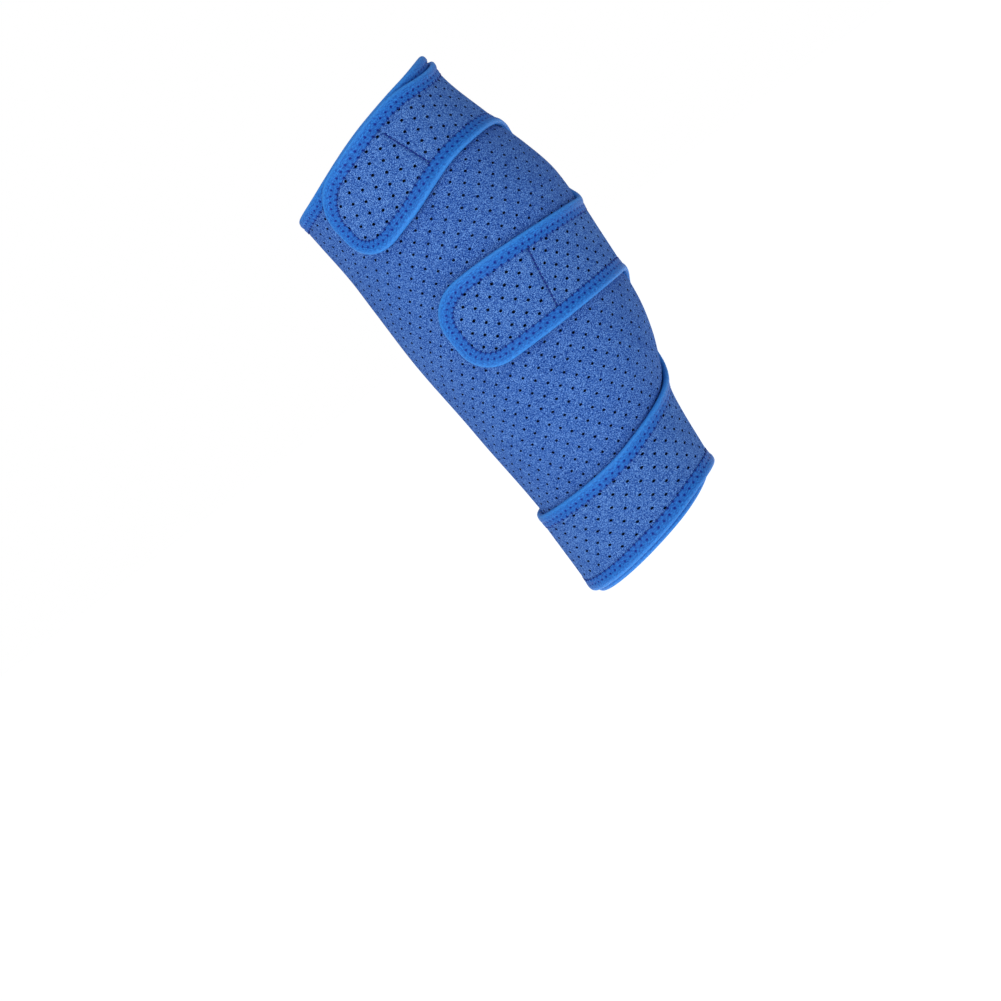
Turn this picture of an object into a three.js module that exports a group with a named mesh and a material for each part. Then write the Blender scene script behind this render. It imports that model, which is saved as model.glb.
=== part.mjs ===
// An adjustable calf compression wrap, closed as it is worn on a left leg.
// A neoprene panel winds once round the calf and laps over its own first edge on the
// inner side. Three straps run on from its second edge, over the calf to the outer side,
// and hold there with hook patches. One folded tape binds the whole outline.
//
// Frame: the origin is the leg's axis at the lower opening. +Z runs up the leg, +X to
// the calf, -X to the shin, -Y to the outer side of the leg, where the tongues lie.
// "Angle" is the place round the leg: 0 outer side, 90 calf, -90 shin, 180 inner side.
// "Turn" is the way travelled along the wrap from its first edge, in degrees.
import * as THREE from 'three';

// Sizes of the closed wrap, in mm and degrees
const SLEEVE_HEIGHT = 280;   // from rim to rim, on the leg's axis
const CALF_DEPTH = 124;      // shin to calf inside the wrap, where the calf is fullest
const CALF_BREADTH = 112;    // side to side inside the wrap, at the same level
const CALF_SWELL = 0.1;      // how much wider the section is behind its middle
const RIM_SLANT = 13.5;      // both rims rise towards the calf by this angle

// Sizes of the neoprene
const NEOPRENE = 3;          // wall of the panel and the straps
const PINCHED_WALL = 1.5;    // the same wall where it is sewn into the tape
const PINCH_MARGIN = 1.5;    // how far the thinning goes on past the tape
const PINCH_RUN = 3.5;       // the length in which the wall swells to its full thickness
const CLEARANCE = 0.3;       // between pieces that are sewn or pressed together

// Sizes of the binding tape
const TAPE_WIDTH = 7.2;      // visible width of one leg of the fold
const TAPE_THICKNESS = 0.75;
const TAPE_CLEARANCE = 0.5;  // from the tape's inside to the pinched neoprene
const TAPE_ROUND = 0.25;     // how far the fold bulges past a square one

// The panel's lap on the inner side of the leg
const FIRST_EDGE_ANGLE = 145;
const LAP_ANGLE = 40;
const CORNER_RADIUS = 14;    // of the panel's two corners inside the lap
const LAP_CLIMB_START = 30;  // degrees before the first edge where the second layer rises
const LAP_CLIMB_END = 7;     // degrees before the first edge where it lies at full height

// The straps and their hook patches
const STRAP_WIDTH = 52;
const TONGUE_RADIUS = 19;
const HOOK_THICKNESS = 1.2;
const HOOK_INSET = 9;        // from the tongue's outline to the patch
const HOOK_CLEARANCE = 0.4;
const HOOK_RISE_RUN = 10;    // length in which a strap rises onto its patch

// Facets
const TURN_STEP = 10;        // degrees; divides 360, so that the layers' facets line up
const CORNER_STEPS = 5;
const FLARE_STEPS = 4;
const PANEL_ROWS = 17;       // between the pinched margins
const STRAP_ROWS = 2;
const NOTCH_MARGIN = 2;      // least distance from a strap's root to the next point of the tape

// Inside of the wrap. Level is a share of the height; shin and calf are the reach in
// front of and behind the axis, as shares of the calf's depth.
const LEG_SECTIONS = [
  { level: -0.08, shin: 0.370, calf: 0.327 },
  { level: 0.02, shin: 0.366, calf: 0.335 },
  { level: 0.10, shin: 0.363, calf: 0.351 },
  { level: 0.17, shin: 0.361, calf: 0.367 },
  { level: 0.22, shin: 0.367, calf: 0.390 },
  { level: 0.27, shin: 0.375, calf: 0.431 },
  { level: 0.345, shin: 0.390, calf: 0.498 },
  { level: 0.42, shin: 0.402, calf: 0.537 },
  { level: 0.57, shin: 0.426, calf: 0.561 },
  { level: 0.71, shin: 0.428, calf: 0.572 },
  { level: 0.79, shin: 0.429, calf: 0.540 },
  { level: 0.887, shin: 0.448, calf: 0.474 },
  { level: 1.00, shin: 0.468, calf: 0.410 },
  { level: 1.12, shin: 0.470, calf: 0.372 },
];

// Straps, from the foot up. In each course, middle is the centre line's level as a share
// of the height, and width is a share of the strap width. Flare is how far an edge
// spreads at the root, over its run. Meets names the rim that an edge runs into there.
const STRAPS = [
  {
    name: 'lower_strap', patch: 'lower_hook_patch', tipAngle: -150, patchAngle: -100,
    flareRun: 55, flareUp: 26, flareDown: 0, meets: 'bottom',
    course: [
      { angle: -150, middle: 0.086, width: 1.00 },
      { angle: -90, middle: 0.071, width: 1.05 },
      { angle: -45, middle: 0.080, width: 1.04 },
      { angle: 0, middle: 0.102, width: 0.98 },
      { angle: 50, middle: 0.135, width: 1.00 },
      { angle: 105, middle: 0.138, width: 1.00 },
    ],
  },
  {
    name: 'middle_strap', patch: 'middle_hook_patch', tipAngle: -34, patchAngle: 17,
    flareRun: 32, flareUp: 18, flareDown: 18, meets: null,
    course: [
      { angle: -34, middle: 0.568, width: 0.98 },
      { angle: 0, middle: 0.571, width: 1.00 },
      { angle: 50, middle: 0.565, width: 0.93 },
      { angle: 105, middle: 0.555, width: 0.90 },
    ],
  },
  {
    name: 'top_strap', patch: 'top_hook_patch', tipAngle: -46, patchAngle: 7,
    flareRun: 50, flareUp: 0, flareDown: 22, meets: 'top',
    course: [
      { angle: -46, middle: 0.861, width: 0.92 },
      { angle: -10, middle: 0.896, width: 0.94 },
      { angle: 25, middle: 0.934, width: 0.87 },
      { angle: 60, middle: 0.940, width: 0.86 },
      { angle: 105, middle: 0.957, width: 0.90 },
    ],
  },
];

// Values that follow from the sizes
const TAPE_INSIDE = PINCHED_WALL / 2 + TAPE_CLEARANCE;
const TAPE_OUTSIDE = TAPE_INSIDE + TAPE_THICKNESS;
const LAYER_LIFT = Math.max(2 * TAPE_OUTSIDE, NEOPRENE) + CLEARANCE;
const TONGUE_LIFT = Math.max(LAYER_LIFT, NEOPRENE + HOOK_THICKNESS + 2 * HOOK_CLEARANCE);
const PINCHED_BAND = TAPE_WIDTH + PINCH_MARGIN;
const SECOND_EDGE = 360 + LAP_ANGLE;

const smooth = (share) => {
  const t = Math.min(Math.max(share, 0), 1);
  return t * t * (3 - 2 * t);
};

// Smooth curve through one column of a table, by cubic Hermite spans
function along(table, key, column, at) {
  const last = table.length - 1;
  const slope = (i) => {
    const a = table[Math.max(i - 1, 0)];
    const b = table[Math.min(i + 1, last)];
    return (b[column] - a[column]) / (b[key] - a[key]);
  };
  const place = Math.min(Math.max(at, table[0][key]), table[last][key]);
  let i = 0;
  while (i < last - 1 && place > table[i + 1][key]) i += 1;
  const span = table[i + 1][key] - table[i][key];
  const t = (place - table[i][key]) / span;
  const rise = table[i + 1][column] - table[i][column];
  const start = slope(i) * span;
  const end = slope(i + 1) * span;
  return table[i][column] + t * (start + t * (3 * rise - 2 * start - end + t * (start + end - 2 * rise)));
}

// The inside of the wrap at one place round the leg
function legReach(level) {
  const share = level / SLEEVE_HEIGHT;
  const shin = along(LEG_SECTIONS, 'level', 'shin', share) * CALF_DEPTH;
  const calf = along(LEG_SECTIONS, 'level', 'calf', share) * CALF_DEPTH;
  return { middle: (calf - shin) / 2, reach: (calf + shin) / 2 };
}

function legPoint(turn, level) {
  const angle = THREE.MathUtils.degToRad(FIRST_EDGE_ANGLE - turn);
  const { middle, reach } = legReach(level);
  const half = reach * CALF_BREADTH / CALF_DEPTH;
  const swell = 1 + CALF_SWELL * Math.sin(angle);
  return new THREE.Vector3(middle + reach * Math.sin(angle), -half * Math.cos(angle) * swell, level);
}

// A point of the wrap: its turn, its level, and its height over the inside of the wrap
function onLeg(turn, level, height) {
  const point = legPoint(turn, level);
  const round = legPoint(turn - 0.1, level).sub(legPoint(turn + 0.1, level));
  const up = legPoint(turn, level + 0.1).sub(legPoint(turn, level - 0.1));
  return point.addScaledVector(round.cross(up).normalize(), height);
}

function mmPerDegree(level) {
  const reach = legReach(level).reach;
  const half = reach * CALF_BREADTH / CALF_DEPTH;
  return Math.PI * (reach + half) / 360;
}

function rimLevel(base, turn) {
  const angle = THREE.MathUtils.degToRad(FIRST_EDGE_ANGLE - turn);
  return base + legReach(base).reach * Math.sin(angle) * Math.tan(THREE.MathUtils.degToRad(RIM_SLANT));
}

// Height of a layer's inner face: on the leg, then over the first edge, then on a patch
function lift(turn, strap) {
  const climb = smooth((turn - 360 + LAP_CLIMB_START) / (LAP_CLIMB_START - LAP_CLIMB_END));
  if (!strap) return LAYER_LIFT * climb;
  const rise = smooth((turn - strap.patchTurn) * strap.scale / HOOK_RISE_RUN + 1);
  return LAYER_LIFT * climb + (TONGUE_LIFT - LAYER_LIFT) * rise;
}

// How far a rounded corner cuts into an edge, at a distance from the end
function cornerCut(distance, radius) {
  if (distance >= radius) return 0;
  return radius - Math.sqrt(radius * radius - (radius - Math.max(distance, 0)) ** 2);
}

// How far a strap's edge spreads, at a distance from its root
function flareOut(distance, run, height) {
  const s = 1 - Math.min(distance / run, 1);
  return height * (1 - Math.sqrt(Math.max(1 - s * s, 0)));
}

// Distances from an end at which a quarter of an arc is stepped
const arcSteps = (radius, steps) =>
  Array.from({ length: steps + 1 }, (_, i) => radius * (1 - Math.cos(i * Math.PI / 2 / steps)));

// Columns of a piece: its own ones first, then the shared ones between them
function columnsBetween(own) {
  const first = Math.min(...own);
  const last = Math.max(...own);
  const columns = [...own];
  for (let turn = Math.ceil(first / TURN_STEP) * TURN_STEP; turn < last; turn += TURN_STEP) {
    if (own.every((column) => Math.abs(column - turn) > TURN_STEP / 5)) columns.push(turn);
  }
  return columns.sort((a, b) => a - b);
}

// The panel as a flat piece
const panelScale = mmPerDegree(SLEEVE_HEIGHT / 2);
const panel = {
  lower: (turn) => rimLevel(0, turn) + cornerCut(turn * panelScale, CORNER_RADIUS),
  upper: (turn) => rimLevel(SLEEVE_HEIGHT, turn) - cornerCut(turn * panelScale, CORNER_RADIUS),
  columns: columnsBetween([
    ...arcSteps(CORNER_RADIUS, CORNER_STEPS).map((distance) => distance / panelScale),
    SECOND_EDGE - (PINCHED_BAND + PINCH_RUN) / panelScale,
    SECOND_EDGE - PINCHED_BAND / panelScale,
    SECOND_EDGE,
  ]),
  rows: PANEL_ROWS,
};

// Each strap as a flat piece, from its root at the panel's second edge to its tip
for (const strap of STRAPS) {
  const angleAt = (turn) => FIRST_EDGE_ANGLE + 360 - turn;
  const middle = (turn) => along(strap.course, 'angle', 'middle', angleAt(turn)) * SLEEVE_HEIGHT;
  const half = (turn) => along(strap.course, 'angle', 'width', angleAt(turn)) * STRAP_WIDTH / 2;
  strap.scale = mmPerDegree(middle(SECOND_EDGE));
  strap.root = SECOND_EDGE + CLEARANCE / strap.scale;
  strap.tip = FIRST_EDGE_ANGLE + 360 - strap.tipAngle;
  strap.patchTurn = FIRST_EDGE_ANGLE + 360 - strap.patchAngle;
  const toRim = {
    bottom: rimLevel(0, strap.root) - middle(strap.root) + half(strap.root),
    top: rimLevel(SLEEVE_HEIGHT, strap.root) - middle(strap.root) - half(strap.root),
  };
  const rootShift = (side, distance) =>
    strap.meets === side ? toRim[side] * (1 - smooth(distance / strap.flareRun)) : 0;
  strap.lower = (turn) => {
    const fromRoot = (turn - strap.root) * strap.scale;
    const fromTip = (strap.tip - turn) * strap.scale;
    return middle(turn) - half(turn) + rootShift('bottom', fromRoot)
      - flareOut(fromRoot, strap.flareRun, strap.flareDown) + cornerCut(fromTip, TONGUE_RADIUS);
  };
  strap.upper = (turn) => {
    const fromRoot = (turn - strap.root) * strap.scale;
    const fromTip = (strap.tip - turn) * strap.scale;
    return middle(turn) + half(turn) + rootShift('top', fromRoot)
      + flareOut(fromRoot, strap.flareRun, strap.flareUp) - cornerCut(fromTip, TONGUE_RADIUS);
  };
  strap.columns = columnsBetween([
    ...arcSteps(strap.flareRun, FLARE_STEPS).map((distance) => strap.root + distance / strap.scale),
    ...arcSteps(TONGUE_RADIUS, CORNER_STEPS).map((distance) => strap.tip - distance / strap.scale),
  ]);
  strap.rows = STRAP_ROWS;
}

// Levels of a column's rows: the pinched margins keep their width, the rest is even
function rowLevels(piece, turn) {
  const lower = piece.lower(turn);
  const width = piece.upper(turn) - lower;
  const band = Math.min(PINCHED_BAND, 0.22 * width);
  const full = Math.min(PINCHED_BAND + PINCH_RUN, 0.32 * width);
  const even = Array.from({ length: piece.rows + 1 },
    (_, i) => full + (width - 2 * full) * i / piece.rows);
  return [0, band, ...even, width - band, width].map((distance) => lower + distance);
}

// The outline of a piece as a closed list of turns and levels
function outlineOf(piece) {
  const { columns } = piece;
  const firstLevels = rowLevels(piece, columns[0]).slice(1, -1).reverse();
  const lastLevels = rowLevels(piece, columns.at(-1)).slice(1, -1);
  return [
    ...columns.map((turn) => ({ turn, level: piece.lower(turn) })),
    ...lastLevels.map((level) => ({ turn: columns.at(-1), level })),
    ...columns.toReversed().map((turn) => ({ turn, level: piece.upper(turn) })),
    ...firstLevels.map((level) => ({ turn: columns[0], level })),
  ];
}

function distanceToOutline(outline, turn, level) {
  const scale = mmPerDegree(level);
  let nearest = Infinity;
  outline.forEach((a, i) => {
    const b = outline[(i + 1) % outline.length];
    const ax = (a.turn - turn) * scale;
    const ay = a.level - level;
    const dx = (b.turn - a.turn) * scale;
    const dy = b.level - a.level;
    const share = Math.min(Math.max(-(ax * dx + ay * dy) / (dx * dx + dy * dy), 0), 1);
    nearest = Math.min(nearest, Math.hypot(ax + share * dx, ay + share * dy));
  });
  return nearest;
}

// A closed mesh from points and triangles, turned so that its faces point out
function closedGeometry(points, triangles) {
  let volume = 0;
  for (const [a, b, c] of triangles) {
    volume += points[a].dot(points[b].clone().cross(points[c]));
  }
  const outward = volume > 0 ? triangles : triangles.map(([a, b, c]) => [a, c, b]);
  const geometry = new THREE.BufferGeometry();
  geometry.setAttribute('position', new THREE.Float32BufferAttribute(points.flatMap((p) => p.toArray()), 3));
  geometry.setIndex(outward.flat());
  geometry.computeVertexNormals();
  return geometry;
}

// A sheet with a wall, from a grid of columns and rows with an outer and an inner point each
function sheetGeometry(grid) {
  const rows = grid[0].length;
  const points = grid.flat(2);
  const at = (i, j, side) => (i * rows + j) * 2 + side;
  const triangles = [];
  const quad = (a, b, c, d) => triangles.push([a, b, c], [a, c, d]);
  for (let i = 0; i < grid.length - 1; i += 1) {
    for (let j = 0; j < rows - 1; j += 1) {
      quad(at(i, j, 0), at(i + 1, j, 0), at(i + 1, j + 1, 0), at(i, j + 1, 0));
      quad(at(i, j, 1), at(i, j + 1, 1), at(i + 1, j + 1, 1), at(i + 1, j, 1));
    }
    quad(at(i, 0, 0), at(i, 0, 1), at(i + 1, 0, 1), at(i + 1, 0, 0));
    quad(at(i, rows - 1, 0), at(i + 1, rows - 1, 0), at(i + 1, rows - 1, 1), at(i, rows - 1, 1));
  }
  const end = grid.length - 1;
  for (let j = 0; j < rows - 1; j += 1) {
    quad(at(0, j, 0), at(0, j + 1, 0), at(0, j + 1, 1), at(0, j, 1));
    quad(at(end, j, 0), at(end, j, 1), at(end, j + 1, 1), at(end, j + 1, 0));
  }
  return closedGeometry(points, triangles);
}

// Panel or strap: full wall inside, pinched along its whole outline
function neopreneGeometry(piece, strap) {
  const outline = outlineOf(piece);
  const grid = piece.columns.map((turn) => rowLevels(piece, turn).map((level) => {
    const fullness = smooth((distanceToOutline(outline, turn, level) - PINCHED_BAND) / PINCH_RUN);
    const halfWall = (PINCHED_WALL + (NEOPRENE - PINCHED_WALL) * fullness) / 2;
    const core = lift(turn, strap) + NEOPRENE / 2;
    return [onLeg(turn, level, core + halfWall), onLeg(turn, level, core - halfWall)];
  }));
  return sheetGeometry(grid);
}

// Hook patch: inset from the tongue's outline, pressed between tongue and panel
function patchGeometry(strap) {
  const tip = strap.tip - HOOK_INSET / strap.scale;
  const radius = TONGUE_RADIUS - HOOK_INSET;
  const corner = arcSteps(radius, CORNER_STEPS).map((distance) => tip - distance / strap.scale);
  const height = NEOPRENE + HOOK_CLEARANCE;
  const middle = (turn) => (strap.lower(turn) + strap.upper(turn)) / 2;
  const full = (turn) => {
    const square = Math.min(turn, strap.tip - TONGUE_RADIUS / strap.scale);
    return (strap.upper(square) - strap.lower(square)) / 2 - HOOK_INSET;
  };
  const grid = columnsBetween([strap.patchTurn, ...corner]).map((turn) => {
    const half = full(turn) - cornerCut((tip - turn) * strap.scale, radius);
    return [-1, 0, 1].map((side) => {
      const level = middle(turn) + side * half;
      return [onLeg(turn, level, height + HOOK_THICKNESS), onLeg(turn, level, height)];
    });
  });
  return sheetGeometry(grid);
}

// The whole flat outline that the tape follows: bottom rim, round each strap, top rim and
// back down the first edge
function tapePath() {
  const rim = panel.columns.slice(0, -1);
  const path = rim.map((turn) => ({ turn, level: panel.lower(turn) }));
  STRAPS.forEach((strap, i) => {
    const sides = outlineOf(strap);
    const around = sides.slice(0, sides.length - (rowLevels(strap, strap.root).length - 2));
    path.push(...around.map((point) => ({ ...point, strap })));
    const next = STRAPS[i + 1];
    if (!next) return;
    const notch = rowLevels(panel, SECOND_EDGE).filter((level) =>
      level > strap.upper(strap.root) + NOTCH_MARGIN && level < next.lower(next.root) - NOTCH_MARGIN);
    path.push(...notch.map((level) => ({ turn: SECOND_EDGE, level })));
  });
  path.push(...rim.toReversed().map((turn) => ({ turn, level: panel.upper(turn) })));
  const firstLevels = rowLevels(panel, 0).slice(1, -1).reverse();
  path.push(...firstLevels.map((level) => ({ turn: 0, level })));
  return path;
}

// The folded tape: one section at each point of the path, with its legs laid on both faces
function tapeGeometry() {
  const path = tapePath();
  const nose = TAPE_CLEARANCE + TAPE_THICKNESS + TAPE_ROUND;
  const section = [
    [-TAPE_WIDTH, TAPE_OUTSIDE], [0, TAPE_OUTSIDE], [nose, 0], [0, -TAPE_OUTSIDE], [-TAPE_WIDTH, -TAPE_OUTSIDE],
    [-TAPE_WIDTH, -TAPE_INSIDE], [TAPE_CLEARANCE, -TAPE_INSIDE], [TAPE_CLEARANCE, TAPE_INSIDE], [-TAPE_WIDTH, TAPE_INSIDE],
  ];
  const points = [];
  path.forEach(({ turn, level, strap }, i) => {
    const before = path.at(i - 1);
    const after = path[(i + 1) % path.length];
    const scale = mmPerDegree(level);
    const way = new THREE.Vector2((after.turn - before.turn) * scale, after.level - before.level).normalize();
    for (const [out, up] of section) {
      const there = turn + out * way.y / scale;
      const height = lift(there, strap) + NEOPRENE / 2 + up;
      points.push(onLeg(there, level - out * way.x, height));
    }
  });
  const triangles = [];
  const ring = section.length;
  path.forEach((_, i) => {
    const a = i * ring;
    const b = ((i + 1) % path.length) * ring;
    for (let j = 0; j < ring; j += 1) {
      const k = (j + 1) % ring;
      triangles.push([a + j, b + j, b + k], [a + j, b + k, a + k]);
    }
  });
  return closedGeometry(points, triangles);
}

const neopreneFinish = () =>
  new THREE.MeshStandardMaterial({ color: 0x406bb2, roughness: 0.95, metalness: 0 });
const tapeFinish = () =>
  new THREE.MeshStandardMaterial({ color: 0x2f6fd0, roughness: 0.7, metalness: 0 });
const hookFinish = () =>
  new THREE.MeshStandardMaterial({ color: 0x16305f, roughness: 0.85, metalness: 0 });

const group = new THREE.Group();

function addPiece(name, geometry, finish) {
  const mesh = new THREE.Mesh(geometry, finish);
  mesh.name = name;
  group.add(mesh);
}

addPiece('wrap_panel', neopreneGeometry(panel, null), neopreneFinish());
for (const strap of STRAPS) {
  addPiece(strap.name, neopreneGeometry(strap, strap), neopreneFinish());
  addPiece(strap.patch, patchGeometry(strap), hookFinish());
}
addPiece('edge_binding', tapeGeometry(), tapeFinish());

export default group;
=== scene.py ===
# %% [markdown]
# # A calf compression wrap
# The real thing is a panel of perforated neoprene that is wound once round the calf and
# held by three hook-and-loop straps. One folded tape binds the whole outline, and a
# zigzag stitch holds the tape. This lesson dresses a plain engineering model of it. Each
# soft piece is made again as a fine mesh from the same few sizes, so that it lies where
# the model says, and the model's own soft solids are hidden.

# %% The frame
import math

import bpy
import numpy as np
from mathutils import Matrix, Vector


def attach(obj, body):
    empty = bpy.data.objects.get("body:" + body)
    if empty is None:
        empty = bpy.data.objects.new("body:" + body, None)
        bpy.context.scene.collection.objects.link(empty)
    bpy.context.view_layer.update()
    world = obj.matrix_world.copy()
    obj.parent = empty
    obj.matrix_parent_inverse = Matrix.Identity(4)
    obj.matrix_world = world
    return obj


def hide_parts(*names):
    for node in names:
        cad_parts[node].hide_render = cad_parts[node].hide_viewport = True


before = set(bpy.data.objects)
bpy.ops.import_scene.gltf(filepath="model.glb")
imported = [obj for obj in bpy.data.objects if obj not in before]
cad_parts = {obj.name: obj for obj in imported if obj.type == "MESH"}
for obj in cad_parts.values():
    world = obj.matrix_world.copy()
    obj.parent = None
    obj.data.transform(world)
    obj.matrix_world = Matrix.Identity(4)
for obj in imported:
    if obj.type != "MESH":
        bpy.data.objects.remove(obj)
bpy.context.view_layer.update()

MM = 0.001

# %% [markdown]
# ## The sizes
# All sizes are in millimetres, and angles are in degrees. Angle is the place round the
# leg: 0 is its outer side, 90 the calf, -90 the shin and 180 the inner side. Turn is the
# way along the wrap from its first edge, so a turn of 360 is one full round.

# %% Sizes of the wrap
SLEEVE_HEIGHT = 280.0
CALF_DEPTH = 124.0
CALF_BREADTH = 112.0
CALF_SWELL = 0.1
RIM_SLANT = 13.5

NEOPRENE = 3.0
PINCHED_WALL = 2.0
TAPE_WIDTH = 7.0
TAPE_THICKNESS = 0.7
TAPE_SEAT = 0.05
STITCH_PITCH = 4.0
FOLD_ROW = 3.7
FOLD_CENTRE = 0.5

FIRST_EDGE_ANGLE = 145.0
LAP_ANGLE = 40.0
SECOND_EDGE = 360.0 + LAP_ANGLE
CORNER_RADIUS = 14.0
LAP_CLIMB_START = 30.0
LAP_CLIMB_END = 7.0

STRAP_WIDTH = 52.0
TONGUE_RADIUS = 19.0
HOOK_INSET = 9.0
HOOK_RISE_RUN = 10.0

EDGE_TUCK = 0.9
SHIN_DROP = 3.0
SHIN_DROP_START = 10.0
SHIN_DROP_RUN = 65.0
CALF_ANGLE = 90.0
CALF_RISE_BELOW = 3.2
CALF_RISE_ABOVE = 2.8
CALF_RISE_RUN_BELOW = 75.0
CALF_RISE_RUN_ABOVE = 50.0

LAYER_LIFT = 3.7
TONGUE_LIFT = 4.6
BILLOW = 1.6
PRESS = 0.7

# level: share of the height; shin and calf: reach from the axis, shares of the calf's depth
LEG_SECTIONS = {
    "level": [-.08, .02, .10, .17, .22, .27, .345, .42, .57, .71, .79, .887, 1.00, 1.12],
    "shin": [.368, .364, .362, .361, .366, .374, .387, .397, .421, .423, .424, .441, .460, .462],
    "calf": [.342, .350, .364, .378, .395, .432, .499, .538, .562, .572, .534, .463, .397, .400],
}

# angle, middle and width: a strap's course round the leg, its centre line as a share of the
# height, and its width as a share of the strap width; the rest is in millimetres and degrees
STRAPS = [
    {
        "name": "lower_strap", "tip_angle": -150.0, "patch_angle": -100.0,
        "flare_run": 55.0, "flare_up": 26.0, "flare_down": 0.0, "meets": "bottom",
        "angle": [-150, -90, -45, 0, 50, 105],
        "middle": [0.086, 0.071, 0.080, 0.102, 0.138, 0.148],
        "width": [1.00, 1.05, 1.04, 0.98, 1.00, 1.00],
    },
    {
        "name": "middle_strap", "tip_angle": -34.0, "patch_angle": 17.0,
        "seam_angle": 20.0, "seam_slant": -0.13,
        "flare_run": 32.0, "flare_up": 18.0, "flare_down": 18.0, "meets": None,
        "angle": [-34, 0, 50, 105],
        "middle": [0.568, 0.571, 0.565, 0.555],
        "width": [0.98, 1.00, 0.93, 0.90],
    },
    {
        "name": "top_strap", "tip_angle": -46.0, "patch_angle": 7.0,
        "seam_angle": 13.0, "seam_slant": 0.15,
        "flare_run": 50.0, "flare_up": 0.0, "flare_down": 22.0, "meets": "top",
        "angle": [-46, -10, 25, 60, 105],
        "middle": [0.861, 0.8945, 0.930, 0.937, 0.953],
        "width": [0.92, 0.96, 0.91, 0.86, 0.90],
    },
]

# %% [markdown]
# ## The leg's form
# Soft sheets take the form of what they are wound on. So one function gives a point of
# the wrap from its turn, its level, and its height over the inside of the wrap. Every
# piece is a flat pattern that this function lays round the leg. It works on whole arrays
# at once, because a fine mesh has tens of thousands of points.

# %% The form
PROBE = 0.1


def smooth(share):
    """A soft step from 0 to 1."""
    t = np.clip(share, 0.0, 1.0)
    return t * t * (3 - 2 * t)


def along(table, key, column, at):
    """A smooth curve through one column of a table, in cubic Hermite spans."""
    keys = np.array(table[key], float)
    values = np.array(table[column], float)
    before = np.maximum(np.arange(len(keys)) - 1, 0)
    after = np.minimum(np.arange(len(keys)) + 1, len(keys) - 1)
    slopes = (values[after] - values[before]) / (keys[after] - keys[before])
    place = np.clip(at, keys[0], keys[-1])
    i = np.clip(np.searchsorted(keys, place) - 1, 0, len(keys) - 2)
    span = keys[i + 1] - keys[i]
    t = (place - keys[i]) / span
    rise = values[i + 1] - values[i]
    start = slopes[i] * span
    end = slopes[i + 1] * span
    return values[i] + t * (start + t * (3 * rise - 2 * start - end + t * (start + end - 2 * rise)))


def leg_reach(level):
    """Where the middle of the leg's section is, and how far the section reaches from it."""
    share = np.asarray(level, float) / SLEEVE_HEIGHT
    shin = along(LEG_SECTIONS, "level", "shin", share) * CALF_DEPTH
    calf = along(LEG_SECTIONS, "level", "calf", share) * CALF_DEPTH
    return (calf - shin) / 2, (calf + shin) / 2


def mm_per_degree(level):
    _, reach = leg_reach(level)
    return math.pi * reach * (1 + CALF_BREADTH / CALF_DEPTH) / 360


def leg_point(turn, level):
    angle = np.radians(FIRST_EDGE_ANGLE - turn)
    middle, reach = leg_reach(level)
    half = reach * CALF_BREADTH / CALF_DEPTH
    swell = 1 + CALF_SWELL * np.sin(angle)
    level = level + 0 * angle
    return np.stack([middle + reach * np.sin(angle), -half * np.cos(angle) * swell, level], -1)


def way_round(turn, level):
    """A short step round the leg, against the way of the turn."""
    return leg_point(turn - PROBE, level) - leg_point(turn + PROBE, level)


def outward(turn, level):
    """The direction out of the leg, one millimetre long."""
    up_leg = leg_point(turn, level + PROBE) - leg_point(turn, level - PROBE)
    normal = np.cross(way_round(turn, level), up_leg)
    return normal / np.linalg.norm(normal, axis=-1, keepdims=True)


def rim_level(base, turn):
    """A straight slanted cut through the leg's form, which a rim follows."""
    angle = np.radians(FIRST_EDGE_ANGLE - turn)
    _, reach = leg_reach(base)
    return base + reach * np.sin(angle) * math.tan(math.radians(RIM_SLANT))


def shin_drop(turn):
    """The top rim hangs a little lower over the shin than a straight cut would."""
    angle = FIRST_EDGE_ANGLE - turn
    toward = np.minimum(SHIN_DROP_START - angle, angle + 180 + SHIN_DROP_RUN)
    return SHIN_DROP * smooth(toward / SHIN_DROP_RUN)


def calf_rise_below(turn):
    """The bottom rim rises at the calf, in both rounds of the wrap."""
    angle = (FIRST_EDGE_ANGLE - turn + 180) % 360 - 180
    return CALF_RISE_BELOW * smooth(1 - np.abs(angle - CALF_ANGLE) / CALF_RISE_RUN_BELOW)


def calf_rise_above(turn):
    """The top rim of the first round stands up a little over the strap outside it."""
    angle = FIRST_EDGE_ANGLE - turn
    return CALF_RISE_ABOVE * smooth(1 - np.abs(angle - CALF_ANGLE) / CALF_RISE_RUN_ABOVE)


# %% [markdown]
# ## The flat pattern
# The panel and the straps each have a lower and an upper edge, a start and an end. The
# edges are functions of the turn. Corners are quarter circles that cut into an edge, and
# a strap's root spreads in a quarter ellipse, which leaves a round notch between straps.

# %% Edges of the panel and the straps
def corner_cut(distance, radius):
    """How far a round corner cuts into an edge."""
    rest = np.clip(radius - distance, 0, radius)
    return radius - np.sqrt(radius * radius - rest * rest)


def flare_out(distance, run, height):
    """How far a strap's root spreads past its edge."""
    share = 1 - np.clip(distance / run, 0, 1)
    return height * (1 - np.sqrt(np.clip(1 - share * share, 0, 1)))


class Flat:
    """A flat piece: its two edges as functions of the turn, and where it starts and ends."""

    def __init__(self, name, start, end, level, lower, upper, strap=None):
        self.name = name
        self.start = start
        self.end = end
        self.level = level
        self.scale = float(mm_per_degree(level))
        self.lower = lower
        self.upper = upper
        self.strap = strap


panel_scale = float(mm_per_degree(SLEEVE_HEIGHT / 2))
first_edge = EDGE_TUCK / panel_scale


def panel_lower(turn):
    from_edge = (turn - first_edge) * panel_scale
    rim = rim_level(0.0, turn) + EDGE_TUCK + calf_rise_below(turn)
    return rim + corner_cut(from_edge, CORNER_RADIUS)


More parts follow.
